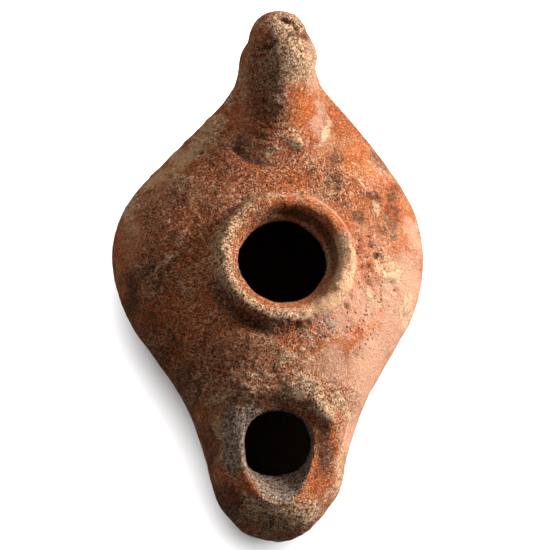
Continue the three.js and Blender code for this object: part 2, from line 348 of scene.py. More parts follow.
# Each patch is (x, y, half length, half width, angle in degrees, strength).
# Buff crust.
CRUST = [
    # Horn.
    (-1.5, 47.5, 6, 3.5, 0, 1), (-0.6, 41, 4.8, 5.5, 0, 1.2), (-2.6, 33.5, 2.8, 5, 0, 0.85),
    (-9.8, 38, 1.2, 6, 8, 0.6), (3.6, 40.5, 2.4, 5, 0, 0.85), (-8.4, 41, 1.6, 5, 10, 0.5),
    (-11.5, 36.5, 1.6, 5, -15, 0.7), (-2, 23.9, 2.6, 1.2, 10, 1), (2.8, 25, 2.2, 1.2, 0, 0.7),
    (8.9, 28.6, 3.6, 1.3, 70, 1), (3, 41.4, 2.2, 3, 0, 0.9),
    # Left.
    (-15.5, 30, 3.5, 2.6, 45, 0.95), (-21, 25, 5.5, 2.6, 42, 1), (-27.5, 19.5, 5, 2.5, 42, 0.95),
    (-32.5, 13, 4.5, 2, 58, 0.85), (-23.5, 17.5, 3.4, 3.4, 0, 0.75), (-33, 6.5, 2.2, 4, 0, 0.6),
    (-34.5, -1.5, 1.4, 4, 0, 0.3), (-16.5, 26.5, 2, 2, 0, 0.8), (-22.8, 3.6, 3.4, 1.2, 55, 0.7),
    (-25.6, -2.2, 4.4, 1.1, 50, 0.8), (-30.5, -8, 1.6, 3.5, -10, 0.5), (-17.6, -27.4, 1.6, 0.8, 25, 0.8),
    # Ring.
    (5.6, 20.3, 1.4, 0.9, 0, 0.7), (5, 13.5, 3, 1, 0, 0.4), (-3.6, -18.6, 2, 0.8, -30, 0.6),
    # Right.
    (18, 18.6, 1.3, 0.8, -50, 0.9), (21, 12.2, 1.8, 0.8, -55, 0.9), (24, 21, 1.2, 0.6, -50, 0.6),
    (24.2, -1.8, 3.2, 2.2, 10, 0.9), (21.4, -1.6, 2.6, 2, 0, 0.75), (20, -8.6, 1.8, 2.4, 20, 0.6),
    (31.8, 4.5, 1.6, 4, 0, 0.5), (29, -9.5, 2.2, 5, -12, 0.75),
    # Nozzle.
    (-5.5, -28.2, 2.2, 1, 10, 0.8), (-7, -33, 3, 1.2, 15, 0.8), (1.8, -30.3, 2.4, 1.3, 15, 1),
    (5, -29, 3, 1.4, -30, 0.8), (-13.6, -32.6, 2.6, 1.2, 30, 0.9), (-10, -29.6, 1.5, 0.8, 40, 0.7),
    (8, -34, 4, 1.3, -62, 0.95), (13.6, -33.2, 3.6, 0.9, -58, 0.9), (13.2, -42.5, 1.4, 5.5, 4, 0.8),
    (11.6, -50.5, 1.5, 4.2, -18, 0.75), (-12.4, -40.5, 1.2, 4.6, 4, 0.8), (-16.2, -37, 1, 4, 0, 0.5),
    (4, -57.4, 5.4, 1.8, 12, 0.9), (-5.6, -56.2, 3.6, 1.5, -25, 0.75), (8.6, -55, 2.5, 1.6, 45, 0.7),
    (-12.7, -32.5, 2.6, 1.6, 25, 0.9), (3.4, -30.4, 3.8, 1.8, -10, 1.1), (8.8, -34, 4.2, 2, -60, 1.1),
    (14.3, -34.6, 2.6, 1.3, -60, 0.8), (13.4, -45.5, 1.6, 6.5, 5, 0.9), (1.6, -57.4, 6, 2.6, 0, 1.3),
    (-4.2, -55.8, 4.4, 2, -20, 1.1), (7.4, -55.4, 2.6, 1.8, 25, 0.8), (-13.2, -39.6, 1.6, 4, 4, 0.8),
    (-8, -31, 4, 1.2, 10, 0.6), (-12.6, -49, 1.4, 4, 15, 0.5), (0.5, -24.5, 3.2, 1.2, 28, 0.9),
    (5.5, -25, 3, 1, 25, 0.8), (-7.4, -21, 0.8, 2.2, 0, 0.6),
]
# Dark brown stains, some of them painted shade as well.
STAINS_AND_SHADE = [
    # Horn; the first two are painted shade as well as stain, down the horn's left side and at the left of
    # its heel.
    (-6.6, 36, 1.8, 8, 8, 0.6), (-8.4, 24.3, 3, 3.8, 30, 0.9), (12.2, 23, 2.2, 2.6, 0, 0.95),
    # Left.
    (-29.5, -3.5, 4.5, 2.6, 60, 0.8), (-26, -7.5, 3.5, 2.6, 20, 0.6), (-28.5, -14, 4.5, 5.5, -30, 0.55),
    (-24.5, -20.5, 3.5, 5.5, -32, 0.65), (-21, -27, 2, 6, -20, 0.7), (-32.4, -7, 2.4, 6, 10, 0.95),
    (-28.8, 16.2, 1, 0.7, 50, 1), (-33.8, 4, 1.6, 9, 0, 0.5),
    # Ring.
    (-6.2, 20.6, 3.4, 1, -20, 0.9), (11.5, 17.5, 3.2, 3.2, 0, 0.8), (5, 18, 2.6, 2.6, 0, 0.7),
    (0.5, 16, 7, 2.6, 0, 0.5),
    # Right.
    (13.5, 12.6, 2.8, 1.6, -30, 0.75), (20.4, 14.6, 2.6, 1.5, -20, 0.95), (17.6, 9, 1.8, 1.8, 0, 0.95),
    (25.4, 11, 2.8, 4.8, -15, 0.8), (22.6, 7.4, 2.6, 1.6, 0, 0.75), (26.4, 17, 1.8, 4.6, -32, 0.7),
    (22.5, 24.5, 4, 2.2, -45, 0.85), (25.5, 8.5, 2.6, 4, 0, 0.7), (20.8, 2.4, 2, 0.8, -52, 0.7),
    (31.5, 4, 1, 3, 0, 0.4), (17.3, -21.4, 0.6, 1.6, 12, 0.7),
    # Nozzle; the fourth is painted shade on the right inner wall of the dish.
    (-6.2, -24.6, 3, 1.4, -20, 0.3), (0.6, -34.2, 1.8, 0.9, -8, 0.8), (4.6, -31.6, 1.2, 0.6, -30, 0.6),
    (9.8, -43, 1.8, 5.5, 6, 0.95), (9.6, -54, 2.6, 1.6, 40, 0.7), (8.4, -48.5, 1.6, 3, -20, 0.6),
    (-14.6, -44, 1.8, 8, 8, 0.8), (-11, -53.5, 2.4, 5, 32, 0.85), (-1.8, -58.8, 2, 0.8, 0, 0.8),
    (-17.6, -30.5, 0.8, 3.2, -8, 0.9), (-10.5, -56.5, 4, 2.6, 30, 0.8), (2, -60.8, 5, 0.6, 0, 0.4),
]
# Grey and black soot.
SOOT = [
    (9.6, -17.6, 2.6, 3.6, -20, 0.75), (3, -17.8, 3.6, 1.6, 0, 0.55), (5.6, -21, 2.6, 1.8, -20, 0.7),
    (24.5, 9, 3, 4, 0, 0.5), (-6.8, -36.8, 4, 2.2, 55, 1), (-9.6, -42.5, 2.4, 8.5, 4, 1.15),
    (-8.6, -50, 1.8, 2.6, 30, 0.6), (-7.6, -34.4, 1.4, 1, 20, 0.6), (-6, -25, 2, 1.4, 0, 0.4),
    (10.4, -31.8, 1.4, 1, -60, 0.6),
]
# Pale, worn clay.
PALE = [
    (28, -8, 6.5, 13, -14, 1), (20, -24, 5, 11, -28, 1), (17, -38, 2.6, 9, -4, 1),
    (17.5, -10, 5, 7, 0, 0.8), (31.5, 8, 2.6, 6, 10, 0.8), (25, 24, 1.4, 6, -42, 0.7),
    (7.9, 30.5, 2.6, 6, 10, 0.85), (5, 41.5, 2.4, 6, 0, 0.9), (9.6, 27.6, 2.6, 4, 30, 0.6),
    (12, -25.4, 4.4, 5.4, 0, 0.8), (20, -9, 3.6, 4, 0, 0.8), (26.5, 9, 3, 5, 0, 0.45),
    (14, -31, 4, 5, -30, 0.6), (13, -15.5, 3.5, 5, 0, 0.8), (9, -27.5, 5, 2, 0, 0.5),
    (15.8, 12, 2.6, 1.2, -40, 0.4), (20, -2, 8, 12, 0, 0.55), (23, 22, 3, 9, -40, 0.5),
    (5, -26, 6, 4, 0, 0.45),
]
# Red slip that is left.
SLIP = [
    (16.6, 24.4, 2.8, 4.6, -20, 1), (20, 20, 3, 2.6, -40, 0.6), (16.5, 13, 2.4, 1.6, 0, 0.7),
    (2.4, 33, 2.8, 4.8, -6, 1.4), (1.8, -22.6, 2.2, 1.8, -40, 1), (-18.6, -3.4, 3.4, 2.2, 0, 0.7),
    (-17.5, 22.5, 1.4, 3.4, -20, 0.6), (-0.5, 25.6, 3.6, 1, 0, 0.9), (1, 17, 7, 3, 0, 1.5),
    (-10.2, -27.2, 4, 2.4, 15, 1.1), (-2, 29.6, 2, 2.4, 0, 0.7), (1.6, 21.8, 3.6, 1.2, 0, 0.7),
    (-15.8, -34.6, 2.6, 1, 20, 0.8), (9.4, -43, 2.4, 8, 5, 1.5), (-6.4, -33.2, 3, 1.4, 20, 1.1),
    (-12, -44, 1.2, 6, 0, 0.5), (20, -0.2, 1, 1.4, 0, 0.6), (-17, 3, 9, 17, 0, 0.7),
    (-14, -16, 10, 9, 20, 0.75), (-12, -38, 3, 9, 0, 0.4),
]
# Pitted and crumbling clay.
CRUMBLY = [
    (19.5, -3, 5, 8.5, 0, 1), (17.5, -14.5, 4.8, 7, 0, 1), (6, -18.6, 6, 3.4, 0, 0.9),
]
# Coarse grain.
ROUGH = [
    (-19, 8, 13, 16, 0, 1), (-12, -21, 13, 9, 0, 1), (4, 17, 12, 4, 0, 0.9), (0, -32, 13, 4, 0, 0.9),
    (-1, 38, 5, 13, 0, 0.9), (0, -57, 9, 3, 0, 1),
]
# Calm places with little grain.
SMOOTH = [
    (17.5, 23.5, 6, 6, 0, 0.45), (2.4, 33, 2.6, 4.6, 0, 0.7), (27, 4, 5, 12, 0, 0.4),
    (-24.5, 21.5, 10, 3.6, 45, 0.9), (-33.5, 6, 2.6, 9, 0, 0.8), (-35, -8, 2, 8, 10, 0.6),
]
# White flecks.
FLECKED = [
    (-11, -29, 8, 5, 0, 0.9), (0, -30, 12, 4.5, 0, 1), (-9.5, -42, 3, 9, 0, 0.9), (9, -34, 6, 6, 0, 0.9),
    (1, -56.5, 11, 3.2, 0, 1), (-14, -2, 4, 13, 0, 0.8), (0, 24, 8, 4, 0, 0.8), (-3, 39, 5, 12, 0, 0.7),
    (19, 21, 7, 6, 0, 0.6), (20, -2, 7, 9, 0, 0.6), (-20, 14, 9, 9, 0, 0.4), (-22, -4, 8, 8, 0, 0.5),
    (4, -19, 8, 4, 0, 0.8), (13, -44, 3, 12, 0, 0.7), (12, 14, 6, 6, 0, 0.5),
]

# Each pit is (x, y, radius, depth).
PITS = [
    # Horn.
    (-2.8, 49.2, 0.7, 0.6), (-1.6, 48.8, 0.8, 0.8), (-1, 48.3, 0.7, 0.6), (-0.6, 49.3, 0.5, 0.4),
    (-1.9, 34.7, 0.5, 0.3), (-1.2, 33.6, 0.4, 0.3), (-2, 31.5, 0.5, 0.35), (-3, 27.3, 0.4, 0.3),
    (2.9, 40, 0.5, 0.3),
    # Left.
    (-21.4, 19.9, 0.5, 0.35), (-29, 16.2, 0.9, 0.25),
    # Ring.
    (5, -17.6, 0.8, 0.4), (0.9, -17.5, 0.6, 0.35), (3.2, -18.1, 0.6, 0.4), (8, -20.4, 0.7, 0.4),
    # Right.
    (17.6, -2.2, 0.7, 0.55), (20, 3.1, 0.9, 0.6), (21.4, 1.2, 1.2, 0.8), (23.4, -1.3, 0.8, 0.6),
    (24.1, -1.9, 0.5, 0.4), (20, -5.6, 0.8, 0.6), (19.3, -4.9, 0.6, 0.4), (17.5, -6.9, 0.6, 0.5),
    (15.2, -9.3, 0.7, 0.5), (14.2, -12, 1, 0.7), (16.2, -13, 0.6, 0.45), (13.7, -14.3, 0.6, 0.4),
    (14.8, -15.3, 0.6, 0.5), (18.2, -15.1, 0.6, 0.45), (21.9, -9, 0.8, 0.5), (25.1, -4.2, 0.7, 0.5),
    (25.9, -5.7, 0.8, 0.5), (18.6, -4, 0.5, 0.35), (17.1, 3.5, 0.7, 0.5), (16.5, 4.6, 0.5, 0.35),
    (19.4, 5.2, 0.7, 0.45), (22.5, 7, 0.8, 0.4), (16.2, -11.2, 0.5, 0.4), (15.2, -16.6, 0.5, 0.4),
    (17.7, -14.8, 0.5, 0.4), (19.3, -15.7, 0.6, 0.4), (16.6, -17.4, 0.5, 0.4), (13.2, -17.8, 0.7, 0.4),
    (20.5, -12.4, 0.5, 0.35), (22, -14.6, 0.5, 0.35), (18.4, -19, 0.5, 0.35), (16.8, 1, 0.8, 0.5),
    (18.9, 0.6, 0.7, 0.45), (22.2, -6.6, 0.5, 0.35), (19.2, -9.8, 0.5, 0.35),
    # Nozzle.
    (14, -22.8, 0.5, 0.3), (-1, -58.6, 1.2, 0.4),
]
# Each crumb is (x, y, radius, height).
CRUMBS = [
    # Horn.
    (0.5, 41.6, 0.5, 0.25), (-3.4, 49.2, 0.6, 0.2),
    # Left.
    (-13.4, -2.4, 0.8, 0.35), (-14.2, -1.6, 0.6, 0.3), (-13, -3.4, 0.6, 0.3),
    # Ring.
    (4.2, -19.3, 0.6, 0.35), (11.2, -8.6, 0.8, 0.55), (10, -9.2, 0.6, 0.4), (12, -9.2, 0.5, 0.35),
    (-10.8, 8, 0.5, 0.3),
    # Right.
    (18, 18.8, 0.7, 0.3), (18.9, 17.9, 0.5, 0.25), (20.2, 18.3, 0.5, 0.25), (21.6, 19.3, 0.4, 0.2),
    (15.6, 24.5, 0.4, 0.2), (16.4, 21.6, 0.5, 0.2), (23, 0.6, 1.6, 0.45), (25.4, -0.6, 1.4, 0.4),
    (20.4, -1.6, 1.5, 0.45), (21.6, -3.6, 1.3, 0.4), (18.4, 1.6, 1.2, 0.35), (22.6, 3.4, 1.4, 0.35),
    (24.8, -3, 1, 0.4), (17, -0.6, 0.9, 0.3),
    # Nozzle.
    (-1.7, -22.3, 0.5, 0.4), (-1.5, -23, 0.4, 0.3), (-7, -29, 0.8, 0.25), (1.6, -30.2, 1.4, 0.25),
]

# Each stroke is (rise, width, points along it); a negative rise is a crack or a groove.
STROKES = [
    # Horn.
    (-0.7, 0.5, [(-5.4, 42.3), (-4, 42.9), (-2.6, 43.4), (-1.4, 44), (-0.4, 44.8), (1.3, 45.8),
                 (3.6, 46.1)]),
    (-0.9, 0.6, [(0.1, 48.5), (1.5, 47.3)]),
    (-1.1, 0.75, [(-2.8, 49.4), (-1.7, 48.9), (-0.8, 48.5)]),
    (0.45, 0.55, [(-10, 30.3), (-8.4, 29.3), (-6.8, 28.4), (-5, 27), (-2.6, 26.8)]),
    (-0.35, 0.6, [(-9.6, 28.8), (-8, 27.8), (-6.2, 26.7), (-4.6, 25.6)]),
    (0.4, 0.65, [(-4.6, 24.6), (-2.2, 25.5), (0.4, 26), (2.9, 25.3), (4, 23.9)]),
    (-0.45, 0.8, [(-11, 23.4), (-9.4, 21.8), (-7.6, 20.6), (-5.6, 20), (-4.2, 19.7)]),
    (0.55, 1, [(9.9, 32), (9.7, 29.4), (8.5, 27.2), (6.4, 25.4), (4.6, 24.4)]),
    # Left.
    (-0.5, 0.5, [(-16.9, 24.6), (-18.4, 23.3)]),
    (-0.45, 0.35, [(-19.5, 22.6), (-21.1, 21)]),
    (-0.3, 0.35, [(-30.1, 13.3), (-32.2, 12.4)]),
    (-0.3, 0.35, [(-30.4, 11.3), (-32.4, 10.6)]),
    (-0.25, 0.4, [(-25.4, 17.4), (-26.3, 15.6)]),
    (-0.4, 0.55, [(-23.4, -1.4), (-25, -3.4), (-26.6, -6), (-27.6, -8)]),
    (0.35, 0.6, [(-24.2, -0.2), (-26.2, -2.6), (-27.8, -5.4)]),
    (0.25, 0.6, [(-21.4, 5.4), (-23.2, 3.6), (-24.6, 1)]),
    # Ring.
    (-0.3, 0.6, [(-3.4, 22.4), (-0.6, 22.8), (1.8, 23.3)]),
    # Right.
    (-0.3, 0.45, [(17.2, -20.2), (17.5, -22.8)]),
    (-0.35, 0.5, [(19.6, 14.6), (21.6, 14.2), (22.6, 13)]),
    (0.35, 0.55, [(20.2, 13.2), (21.6, 12.4), (23, 10.8)]),
    (-0.3, 0.6, [(19.4, 4.4), (20.6, 2.2), (22, 0.2)]),
    # Nozzle.
    (0.28, 0.4, [(12, -30.3), (13.4, -32.8), (14.9, -36)]),
    (-0.3, 0.35, [(11, -31.2), (12.4, -33.6), (13.9, -36.2)]),
    (0.22, 0.4, [(9.8, -30.6), (11, -33), (12.4, -36), (13.2, -38.4)]),
    (-0.3, 0.35, [(14.6, -38.8), (13.2, -42.4)]),
    (0.28, 0.3, [(2.1, -27), (4, -26), (6, -25.3)]),
    (-0.3, 0.4, [(-17.4, -28.6), (-17.8, -30.6), (-18, -33)]),
]
# Each swell is (rise, half width, points along it): soft unevenness that carries no colour.
SWELLS = [
    (-0.7, 2.2, [(7.8, -39.5), (7.9, -43), (7.4, -48)]),
    (0.7, 2, [(12, -36), (12.6, -42.5), (11.6, -49.5)]),
    (0.7, 2, [(-9, -30.6), (0, -32.2), (6.6, -33.2), (9.6, -36)]),
    (0.5, 2.2, [(-6, -58.4), (1.6, -59.6), (8.5, -57.6)]),
]

# Each arc of the ring is (bearing, spread, distance from the ring's middle, half width, strength).
RING_ARCS = {
    "crust": [(-26, 58, 13.4, 2.5, 1.4), (268, 58, 13.3, 2.0, 1.15), (178, 62, 14.0, 2.3, 1.15),
              (100, 45, 14.6, 1.5, 0.65)],
    # The first three stain arcs are painted shade: on the inner wall at the upper right and on the crest's
    # right side, and the ring's painted shadow in the groove outside it at the lower left.
    "stain_and_shade": [(42, 66, 11.1, 0.9, 1.3), (12, 26, 13.6, 1.5, 0.95), (228, 40, 16.9, 1.6, 0.95),
              (140, 40, 9.9, 0.5, 0.5)],
    "slip": [(200, 75, 11.2, 1.0, 0.9), (285, 32, 16.0, 0.6, 0.8), (92, 42, 13.0, 1.1, 0.9),
              (270, 60, 10.4, 0.7, 0.8)],
    "soot": [(-5, 60, 9.9, 0.5, 0.9)],
    # The first pale arc is a painted highlight along the ring's outer edge at the upper right.
    "pale": [(35, 38, 16.2, 0.7, 0.9), (-52, 34, 16.0, 1.0, 0.9), (140, 26, 16.6, 1.1, 0.8)],
}
SMOOTH_ARCS = [(-24, 54, 13.4, 2.6, 0.9)]
# The groove thumbed round part of the ring's foot, between two bearings in degrees.
TROUGH = dict(radius=16.9, start=188.0, stop=268.0, fade=25.0, width=1.5, depth=0.75)

PATCHES = {"crust": CRUST, "stain_and_shade": STAINS_AND_SHADE, "soot": SOOT, "pale": PALE, "slip": SLIP, "crumbly": CRUMBLY,
           "rough": ROUGH, "smooth": SMOOTH, "flecked": FLECKED}
# A patch is whole within the first of these reaches and gone beyond the second.
PATCH_EDGE = (0.35, 1.75)
# A pit or crumb spreads a little wider than its radius.
SPOT_SPREAD = 1.05
# Each step of a patch's wavering edge is (distance, size of the waves).
WAVERS = [(1.3, 4.0), (0.6, 1.6)]
# The way that the patches face, and the shares of it between which they fade in.
SHOWN_WAY = np.array([-0.1, -0.34, 0.94])
SHOWN_EDGE = (-0.05, 0.25)
# Depths below the outside between which the worn skin ends and the plain inside starts.
SKIN_DEPTH = (0.4, 1.6)
INNER_DEPTH = (0.8, 3.0)
# Distances from the wick hole: its wall, and the lip round it.
WICK_WALL = (0.15, 0.8)
WICK_LIP = dict(distance=0.7, half_width=0.5, rise=0.25, slip=0.8)
CREST = dict(radius=13.6, half_width=1.7, waver=0.5, heights=(33.0, 34.5))
# Heights between which the wick hole's rough floor ends, its soot starts and the underside's painted shade
# ends.
WICK_FLOOR_TOP = (16.0, 19.0)
WICK_SOOT_FOOT = (15.0, 18.0)
UNDERSIDE_TOP = (6.0, 14.0)
# How strong the coarse wear is in each kind of place.
WEAR = dict(everywhere=0.25, rough=0.9, crumbly=1.2, crest=0.8)


def patch_share(x, y, patches):
    """How far inside the nearest of some patches a place is: 0 outside, up to the patch's strength."""
    share = np.zeros(len(x))
    for middle_x, middle_y, half_length, half_width, angle, strength in patches:
        turn = np.radians(angle)
        along = (x - middle_x) * np.cos(turn) + (y - middle_y) * np.sin(turn)
        across = (y - middle_y) * np.cos(turn) - (x - middle_x) * np.sin(turn)
        reach = length(along / half_length, across / half_width)
        share = np.maximum(share, strength * (1 - smoothstep(reach, *PATCH_EDGE)))
    return share


def path_distance(x, y, path):
    nearest = np.full(len(x), np.inf)
    for (x0, y0), (x1, y1) in zip(path, path[1:]):
        run_x, run_y = x1 - x0, y1 - y0
        t = ((x - x0) * run_x + (y - y0) * run_y) / (run_x * run_x + run_y * run_y)
        t = np.clip(t, 0, 1)
        nearest = np.minimum(nearest, length(x - x0 - t * run_x, y - y0 - t * run_y))
    return nearest


def spot_heights(x, y, table):
    """The depths or heights of small round pits or crumbs, by the table's last column."""
    heights = np.zeros(len(x))
    for middle_x, middle_y, radius, height in table:
        out = length(x - middle_x, y - middle_y) / (SPOT_SPREAD * radius)
        share = np.clip(1 - out * out, 0, 1)
        heights = np.maximum(heights, height * share * share)
    return heights


def ring_share(where, arcs):
    """The strongest of some arcs of the ring at each point, 0 away from them."""
    share = np.zeros(len(where["bearing"]))
    for bearing, spread, radius, width, strength in arcs:
        turn = (where["bearing"] - bearing + 180) % 360 - 180
        spot = np.exp(-(turn / spread) ** 4 - ((where["from_middle"] - radius) / width) ** 2)
        share = np.maximum(share, strength * spot)
    return share


def waver(points, seed):
    return sum(rise * noise(points, size, seed + step) for step, (rise, size) in enumerate(WAVERS))


def places(points, normals):
    """Where each point lies, as named shares from 0 to 1, and its bearing and distance on the ring."""
    x, y, z = points.T
    waver_x, waver_y = waver(points, 11), waver(points, 13)
    depth = -outside(x, y, z)
    shown = smoothstep(normals @ SHOWN_WAY, *SHOWN_EDGE)
    where = {"everywhere": 1.0}
    where["inner"] = smoothstep(depth, *INNER_DEPTH)
    where["top"] = shown * (1 - smoothstep(depth, *SKIN_DEPTH))
    for name, patches in PATCHES.items():
        where[name] = patch_share(x + waver_x, y + waver_y, patches) * where["top"]
    from_wick = wick_hole(x, y, z)
    lip = np.exp(-((from_wick - WICK_LIP["distance"]) / WICK_LIP["half_width"]) ** 2)
    where["wick_wall"] = 1 - smoothstep(from_wick, *WICK_WALL)
    where["wick_lip"] = lip * where["top"]
    ring_x, ring_y = x - RING["centre"][0], y - RING["centre"][1]
    where["bearing"] = np.degrees(np.arctan2(ring_y, ring_x)) % 360
    where["from_middle"] = length(ring_x, ring_y)
    from_crest = where["from_middle"] - CREST["radius"] + CREST["waver"] * waver_x
    where["crest"] = np.exp(-(from_crest / CREST["half_width"]) ** 2) * smoothstep(z, *CREST["heights"])
    where["worn"] = sum(strength * where[name] for name, strength in WEAR.items())
    where["wick_floor"] = where["wick_wall"] * (1 - smoothstep(z, *WICK_FLOOR_TOP))
    return where


# ---- Relief ----

# Each row is (where the clay is uneven, rise, size of the lumps, the noise's seed).
UNEVENNESS = [
    ("everywhere", 0.22, 13.0, 1), ("everywhere", 0.12, 5.0, 2), ("everywhere", 0.06, 2.4, 3),
    ("worn", 0.08, 1.7, 4), ("worn", 0.09, 1.1, 5), ("crumbly", 0.16, 2.0, 6),
    ("crest", 0.22, 2.2, 8), ("crest", 0.16, 1.2, 28), ("inner", 0.35, 2.6, 9),
    ("wick_floor", 0.5, 2.0, 27),
]
# The crust stands above the clay, with an edge broken up by noise.
CRUST_STEP = dict(rise=0.20, swing=0.5, size=1.2, seed=7, edge=(0.35, 0.75))
WICK_STREAKS = dict(squeeze=0.3, size=0.8, seed=29)
WICK_STREAK_RISE = 0.1
SOOT_STREAKS = dict(squeeze=0.25, size=0.7, seed=26)
# Marks are shaken out of line by this much, and strokes rise unevenly along their length.
SHAKE = dict(distance=0.35, size=1.8)
STROKE_RISE = dict(mean=0.7, swing=0.5, size=1.4, seed=23)
# Heights between which the clean sole gives way to uneven clay.
SOLE_EDGE = (0.3, 2.0)
# Pits, cracks and grooves get painted shade by this share for each millimetre of their depth.
PIT_SHADE = 2.2

# What the material's shares are made of.
# The underside is darkened by this share of painted shade.
UNDERSIDE_PAINTED_SHADE = 0.45
WICK_SOOT = dict(mean=1.15, swing=0.35)
SOOT_OVER_INNER = 0.85
GRAIN = dict(everywhere=0.55, crumbly=-0.08, pale=-0.5, calm=-0.75)


def trough(where):
    """The groove thumbed round part of the ring: 1 along its middle, 0 away from it."""
    around = smoothstep(where["bearing"], TROUGH["start"], TROUGH["start"] + TROUGH["fade"])
    around *= 1 - smoothstep(where["bearing"], TROUGH["stop"] - TROUGH["fade"], TROUGH["stop"])
    return around * np.exp(-((where["from_middle"] - TROUGH["radius"]) / TROUGH["width"]) ** 2)


def marks(points):
    """The heights of the crumbs, pits and strokes."""
    x, y, _ = points.T
    shaken_x = x + SHAKE["distance"] * noise(points, SHAKE["size"], 21)
    shaken_y = y + SHAKE["distance"] * noise(points, SHAKE["size"], 22)
    wave = noise(points, STROKE_RISE["size"], STROKE_RISE["seed"])
    uneven = STROKE_RISE["mean"] + STROKE_RISE["swing"] * wave
    heights = spot_heights(x, y, CRUMBS) - spot_heights(shaken_x, shaken_y, PITS)
    for rise, width, path in STROKES:
        gap = path_distance(shaken_x, shaken_y, path)
        heights += rise * uneven * np.exp(-(gap / width) ** 2)
    return heights


def relief(points, where):
    """How far the clay stands out from the plain form, and how much painted shade its pits and grooves get.
    """
    x, y, z = points.T
    height = WICK_LIP["rise"] * where["wick_lip"]
    for place, rise, size, seed in UNEVENNESS:
        height = height + rise * where[place] * noise(points, size, seed)
    height += WICK_STREAK_RISE * where["wick_wall"] * level_streaks(points, **WICK_STREAKS)
    broken = CRUST_STEP["swing"] * noise(points, CRUST_STEP["size"], CRUST_STEP["seed"])
    height += CRUST_STEP["rise"] * smoothstep(where["crust"] + broken, *CRUST_STEP["edge"])
    height -= TROUGH["depth"] * trough(where) * where["top"]
    for rise, width, path in SWELLS:
        height += rise * where["top"] * np.exp(-(path_distance(x, y, path) / width) ** 2)
    marked = marks(points) * where["top"]
    hollow = np.clip(-marked * PIT_SHADE, 0, 1)
    return (height + marked) * smoothstep(z, *SOLE_EDGE), hollow


def paint(points, where, hollow):
    """The shares that the clay's material mixes its colours by."""
    z = points[:, 2]
    underneath = (1 - smoothstep(z, *UNDERSIDE_TOP)) * (1 - where["inner"])
    wall = where["wick_wall"] * smoothstep(z, *WICK_SOOT_FOOT)
    streaks = level_streaks(points, **SOOT_STREAKS)
    shares = {name: where[name] for name in ("crust", "stain_and_shade", "soot", "pale", "slip", "flecked", "crumbly")}
    for name, arcs in RING_ARCS.items():
        shares[name] = np.maximum(shares[name], ring_share(where, arcs))
    # Painted shade darkens the underside.
    shares["stain_and_shade"] = np.maximum(shares["stain_and_shade"], UNDERSIDE_PAINTED_SHADE * underneath)
    shares["soot"] = np.maximum(shares["soot"], wall * (WICK_SOOT["mean"] + WICK_SOOT["swing"] * streaks))
    shares["slip"] = np.maximum(shares["slip"], WICK_LIP["slip"] * where["wick_lip"])
    calm = np.maximum(where["smooth"], ring_share(where, SMOOTH_ARCS))
    coarseness = GRAIN["everywhere"] + where["rough"] + GRAIN["crumbly"] * where["crumbly"]
    coarseness += GRAIN["pale"] * shares["pale"]
    shares["grain"] = np.clip(coarseness, 0, 1) * (1 + GRAIN["calm"] * calm)
    shares["hollow"] = hollow
    shares["inner"] = where["inner"] * (1 - SOOT_OVER_INNER * wall)
    return shares


# ---- Clay body ----


def clay_object(name):
    low = [edge / MM - CELLS_BELOW * CELL for edge in cad_box[0]]
    high = [edge / MM + CELLS_ABOVE * CELL for edge in cad_box[1]]
    points, faces = surface_net(clay, low, high, CELL)
    points = settle(clay, points)
    normals = slope(clay, points)[0]
    where = places(points, normals)
    height, hollow = relief(points, where)
    shares = paint(points, where, hollow)
    points = points + normals * height[:, None]
    mesh = bpy.data.meshes.new(name)
    mesh.from_pydata((points * MM).tolist(), [], faces.tolist())
    for share_name, values in shares.items():
        layer = mesh.attributes.new(share_name, "FLOAT", "POINT")
        layer.data.foreach_set("value", values.astype(np.float32))
    mesh.update()
    mesh.shade_smooth()
    body = bpy.data.objects.new(name, mesh)
    bpy.context.scene.collection.objects.link(body)
    return body


# ---- Clay material ----

ORANGE = (0.6, 0.215, 0.085, 1)
RED_BROWN = (0.54, 0.12, 0.028, 1)
DEEP_SLIP = (0.6, 0.13, 0.022, 1)
PALE_PINK = (0.56, 0.295, 0.19, 1)
LIGHT_FLECK_AND_PAINTED_LIGHT = (0.88, 0.5, 0.29, 1)
WHITE_FLECK = (0.88, 0.64, 0.44, 1)
DARK_FLECK_AND_SHADE = (0.075, 0.026, 0.012, 1)
BUFF = (0.88, 0.525, 0.3, 1)
CRUST_GAP = (0.38, 0.19, 0.082, 1)
BROWN_STAIN_AND_SHADE = (0.15, 0.052, 0.022, 1)
PIT_PAINTED_SHADE = (0.11, 0.042, 0.02, 1)
BLACK_STAIN_AND_SHADE = (0.05, 0.024, 0.013, 1)
SOOT_GREY = (0.48, 0.37, 0.29, 1)
SOOT_BLACK = (0.045, 0.036, 0.03, 1)
# The inside's dark brown is painted shade as well as oil stain.
INSIDE_SHADE_AND_OIL_BROWN = (0.09, 0.055, 0.034, 1)

# Each field of noise is (lumps to a millimetre, detail, roughness, distortion).
FIELDS = {
    "broad": (0.11, 4.0, 0.55, 0.0), "patchy": (0.38, 5.0, 0.70, 0.6), "mottle": (0.55, 6.0, 0.78, 0.5),
    "fibres": (0.95, 3.0, 0.66, 2.4), "curls": (0.85, 2.0, 0.50, 1.2), "gaps": (1.1, 2.0, 0.50, 1.6),
    "flecks": (1.25, 2.0, 0.60, 1.0), "speckle": (1.7, 3.0, 0.75, 0.5), "grit": (2.8, 2.0, 0.70, 0.0),
}
# Two fields become thin veins: (value in the middle, half width at the edge, at the core).
VEINS = {"curls": (0.51, 0.055, 0.01), "gaps": (0.47, 0.035, 0.0)}
# Small pits in the crumbly clay, bumped in and given painted shade.
SMALL_PITS = dict(to_a_millimetre=0.8, edge=0.30, floor=0.16)
